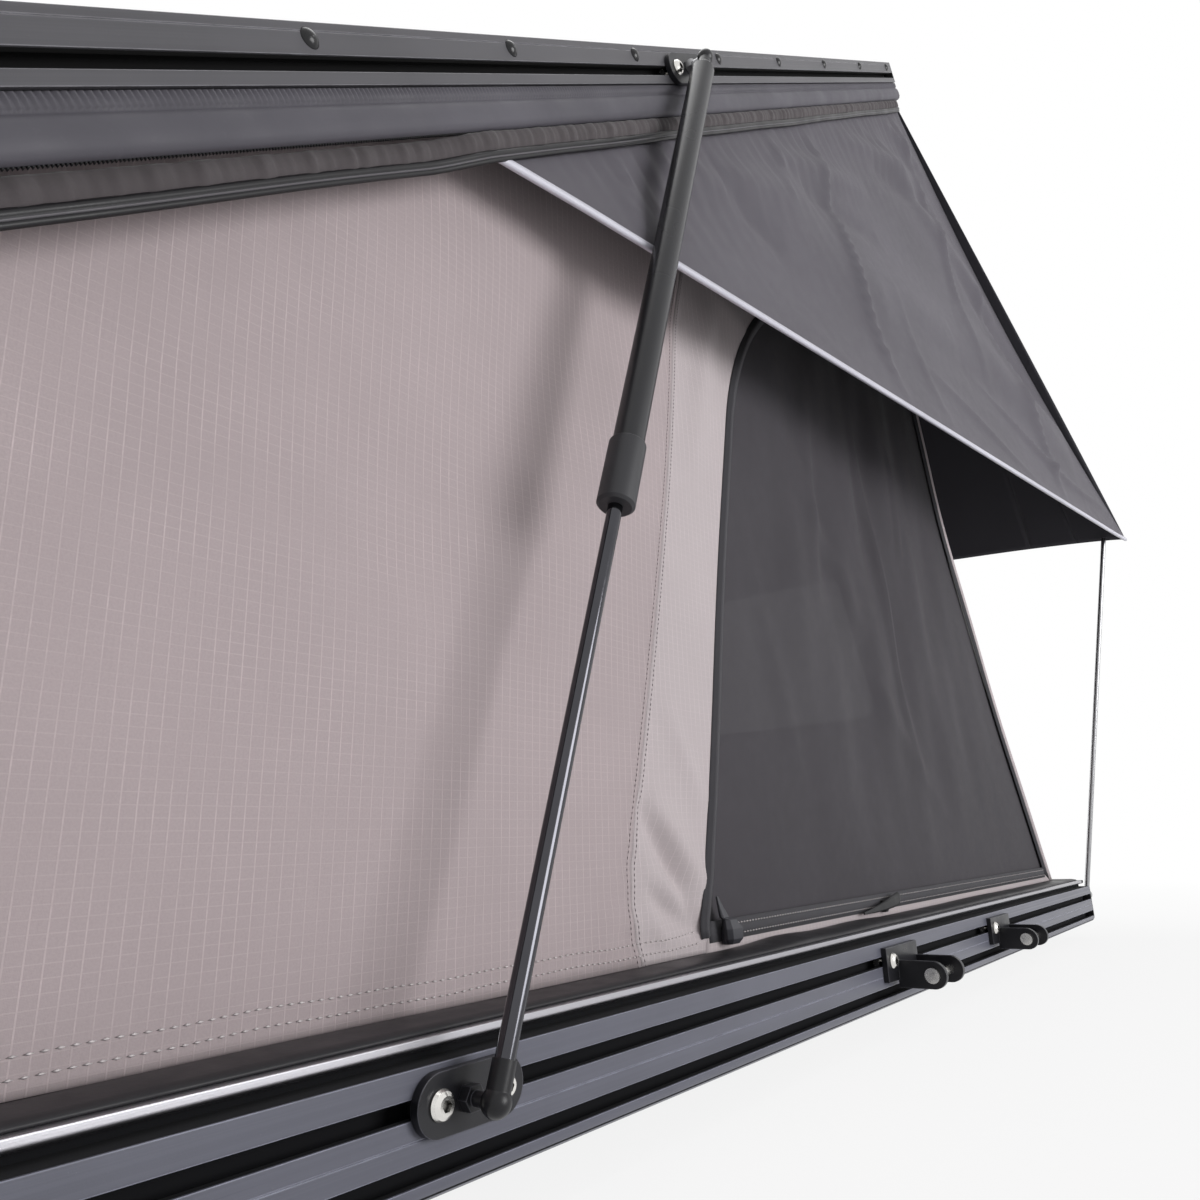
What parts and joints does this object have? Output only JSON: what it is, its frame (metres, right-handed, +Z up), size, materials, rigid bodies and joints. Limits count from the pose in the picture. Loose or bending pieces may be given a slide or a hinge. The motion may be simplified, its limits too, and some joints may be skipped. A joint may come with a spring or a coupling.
{
  "type": "roof top tent",
  "caption": "Hard-shell wedge roof top tent: aluminium base and hinged lid on gas struts, canvas walls with mesh doors, flared front hood, mattress and rack tracks.",
  "frame": {"origin": "centre of the base, midway between the two mounting tracks, on the plane of their lower faces", "axes": "+X from the hinge end to the tall end, +Z up, the left side at -Y"},
  "size_m": [2.3128, 1.6496, 1.4699],
  "materials": {
    "black_rail": "satin black powder coat on extruded aluminium",
    "floor_panel": "grey laminated sandwich panel",
    "bare_aluminium": "mill finish extrusion",
    "black_plastic": "matte moulded nylon",
    "mattress_cover": "woven cotton cover over foam",
    "canvas": "warm grey ripstop poly-cotton",
    "insect_mesh": "fine black insect mesh",
    "hem_vinyl": "black PVC strip",
    "skirt_vinyl": "dark ribbed vinyl",
    "headliner_felt": "quilted lining",
    "hood_fabric": "dark grey coated polyester",
    "black_steel": "satin black coated steel plate",
    "stainless": "bright stainless steel",
    "black_screw": "black oxide",
    "rod_black": "black nitrided polished rod",
    "tube_black": "satin black paint",
    "spring_steel": "zinc plated spring steel"
  },
  "bodies": {
    "base": {"base_floor_panel": "floor_panel", "base_rail_left": "black_rail", "base_rail_right": "black_rail", "base_rail_front": "black_rail", "base_rail_rear": "black_rail", "base_end_caps": "black_plastic", "mounting_track_left": "bare_aluminium", "mounting_track_right": "bare_aluminium", "track_bolts": "stainless", "mattress": "mattress_cover", "canvas_left": "canvas", "canvas_right": "canvas", "canvas_front": "canvas", "canvas_rear": "canvas", "door_mesh_left": "insect_mesh", "door_mesh_right": "insect_mesh", "window_mesh_front": "insect_mesh", "hem_strips": "hem_vinyl", "strut_lower_plates": "black_steel", "strut_lower_studs": "black_steel", "slot_bolts": "stainless", "ladder_brackets": "black_steel", "ladder_pins": "stainless", "base_hinge_leaves": "black_steel", "latch_bases": "stainless", "prop_brackets": "black_steel", "hinge_pins": "stainless"},
    "lid": {"lid_panel": "black_rail", "lid_rail_left": "black_rail", "lid_rail_right": "black_rail", "lid_rail_front": "black_rail", "lid_rail_rear": "black_rail", "lid_end_caps": "black_plastic", "lid_screws": "black_screw", "lid_skirts": "skirt_vinyl", "headliner": "headliner_felt", "lid_hinge_leaves": "black_steel", "strut_upper_plates": "black_steel", "strut_upper_bolts": "stainless", "latch_keepers": "stainless", "hood": "hood_fabric"},
    "left_strut_rod": {"strut_socket_left": "black_plastic", "strut_rod_left": "rod_black"},
    "left_strut_cylinder": {"strut_cylinder_left": "tube_black", "strut_cap_left": "black_plastic", "strut_upper_stud_left": "stainless"},
    "left_latch": {"latch_lever_left": "stainless"},
    "left_hood_prop": {"hood_prop_left": "spring_steel"},
    "left_rear_zip": {"zip_slider_left_rear": "black_plastic"},
    "left_front_zip": {"zip_slider_left_front": "black_plastic"},
    "right_strut_rod": {"strut_socket_right": "black_plastic", "strut_rod_right": "rod_black"},
    "right_strut_cylinder": {"strut_cylinder_right": "tube_black", "strut_cap_right": "black_plastic", "strut_upper_stud_right": "stainless"},
    "right_latch": {"latch_lever_right": "stainless"},
    "right_hood_prop": {"hood_prop_right": "spring_steel"},
    "right_rear_zip": {"zip_slider_right_rear": "black_plastic"},
    "right_front_zip": {"zip_slider_right_front": "black_plastic"}
  },
  "joints": [
    {"name": "lid_hinge", "type": "hinge", "parent": "base", "child": "lid", "pos_m": [-1.103, 0, 0.083], "axis": [0, 1, 0], "range_deg": [0, 37.4], "stiffness_Nm_per_rad": 2700, "springref_deg": -24.64, "deforming": ["canvas_left", "canvas_right", "canvas_front", "canvas_rear", "door_mesh_left", "door_mesh_right", "window_mesh_front", "hood"]},
    {"name": "left_strut_swing", "type": "hinge", "parent": "base", "child": "left_strut_rod", "pos_m": [-0.405, -0.699, 0.0664], "axis": [0, 1, 0], "range_deg": [0, 65.05]},
    {"name": "left_strut_slide", "type": "slide", "parent": "left_strut_rod", "child": "left_strut_cylinder", "axis": [0.3322, 0, 0.9432], "range_m": [-0.2943, 0]},
    {"name": "left_prop_fold", "type": "hinge", "parent": "base", "child": "left_hood_prop", "pos_m": [1.14, -0.66, 0.0664], "axis": [-1, 0, 0], "range_deg": [0, 101.72]},
    {"name": "left_latch_lever", "type": "hinge", "parent": "base", "child": "left_latch", "pos_m": [1.107, -0.33, 0.061], "axis": [0, -1, 0], "range_deg": [0, 180]},
    {"name": "left_rear_zip_slide", "type": "slide", "parent": "base", "child": "left_rear_zip", "axis": [1, 0, 0], "range_m": [0, 0.25]},
    {"name": "left_front_zip_slide", "type": "slide", "parent": "base", "child": "left_front_zip", "axis": [1, 0, 0], "range_m": [0, 0.6]},
    {"name": "right_strut_swing", "type": "hinge", "parent": "base", "child": "right_strut_rod", "pos_m": [-0.405, 0.699, 0.0664], "axis": [0, 1, 0], "range_deg": [0, 65.05]},
    {"name": "right_strut_slide", "type": "slide", "parent": "right_strut_rod", "child": "right_strut_cylinder", "axis": [0.3322, 0, 0.9432], "range_m": [-0.2943, 0]},
    {"name": "right_prop_fold", "type": "hinge", "parent": "base", "child": "right_hood_prop", "pos_m": [1.14, 0.66, 0.0664], "axis": [1, 0, 0], "range_deg": [0, 101.72]},
    {"name": "right_latch_lever", "type": "hinge", "parent": "base", "child": "right_latch", "pos_m": [1.107, 0.33, 0.061], "axis": [0, -1, 0], "range_deg": [0, 180]},
    {"name": "right_rear_zip_slide", "type": "slide", "parent": "base", "child": "right_rear_zip", "axis": [1, 0, 0], "range_m": [0, 0.25]},
    {"name": "right_front_zip_slide", "type": "slide", "parent": "base", "child": "right_front_zip", "axis": [1, 0, 0], "range_m": [0, 0.6]}
  ],
  "couplings": [
    {"joint": "left_strut_swing", "follows": "lid_hinge", "ratio": 1.7341},
    {"joint": "left_strut_slide", "follows": "lid_hinge", "m_per_rad": -0.44938},
    {"joint": "left_prop_fold", "follows": "lid_hinge", "ratio": 2.7118},
    {"joint": "right_strut_swing", "follows": "lid_hinge", "ratio": 1.7341},
    {"joint": "right_strut_slide", "follows": "lid_hinge", "m_per_rad": -0.44938},
    {"joint": "right_prop_fold", "follows": "lid_hinge", "ratio": 2.7118}
  ]
}
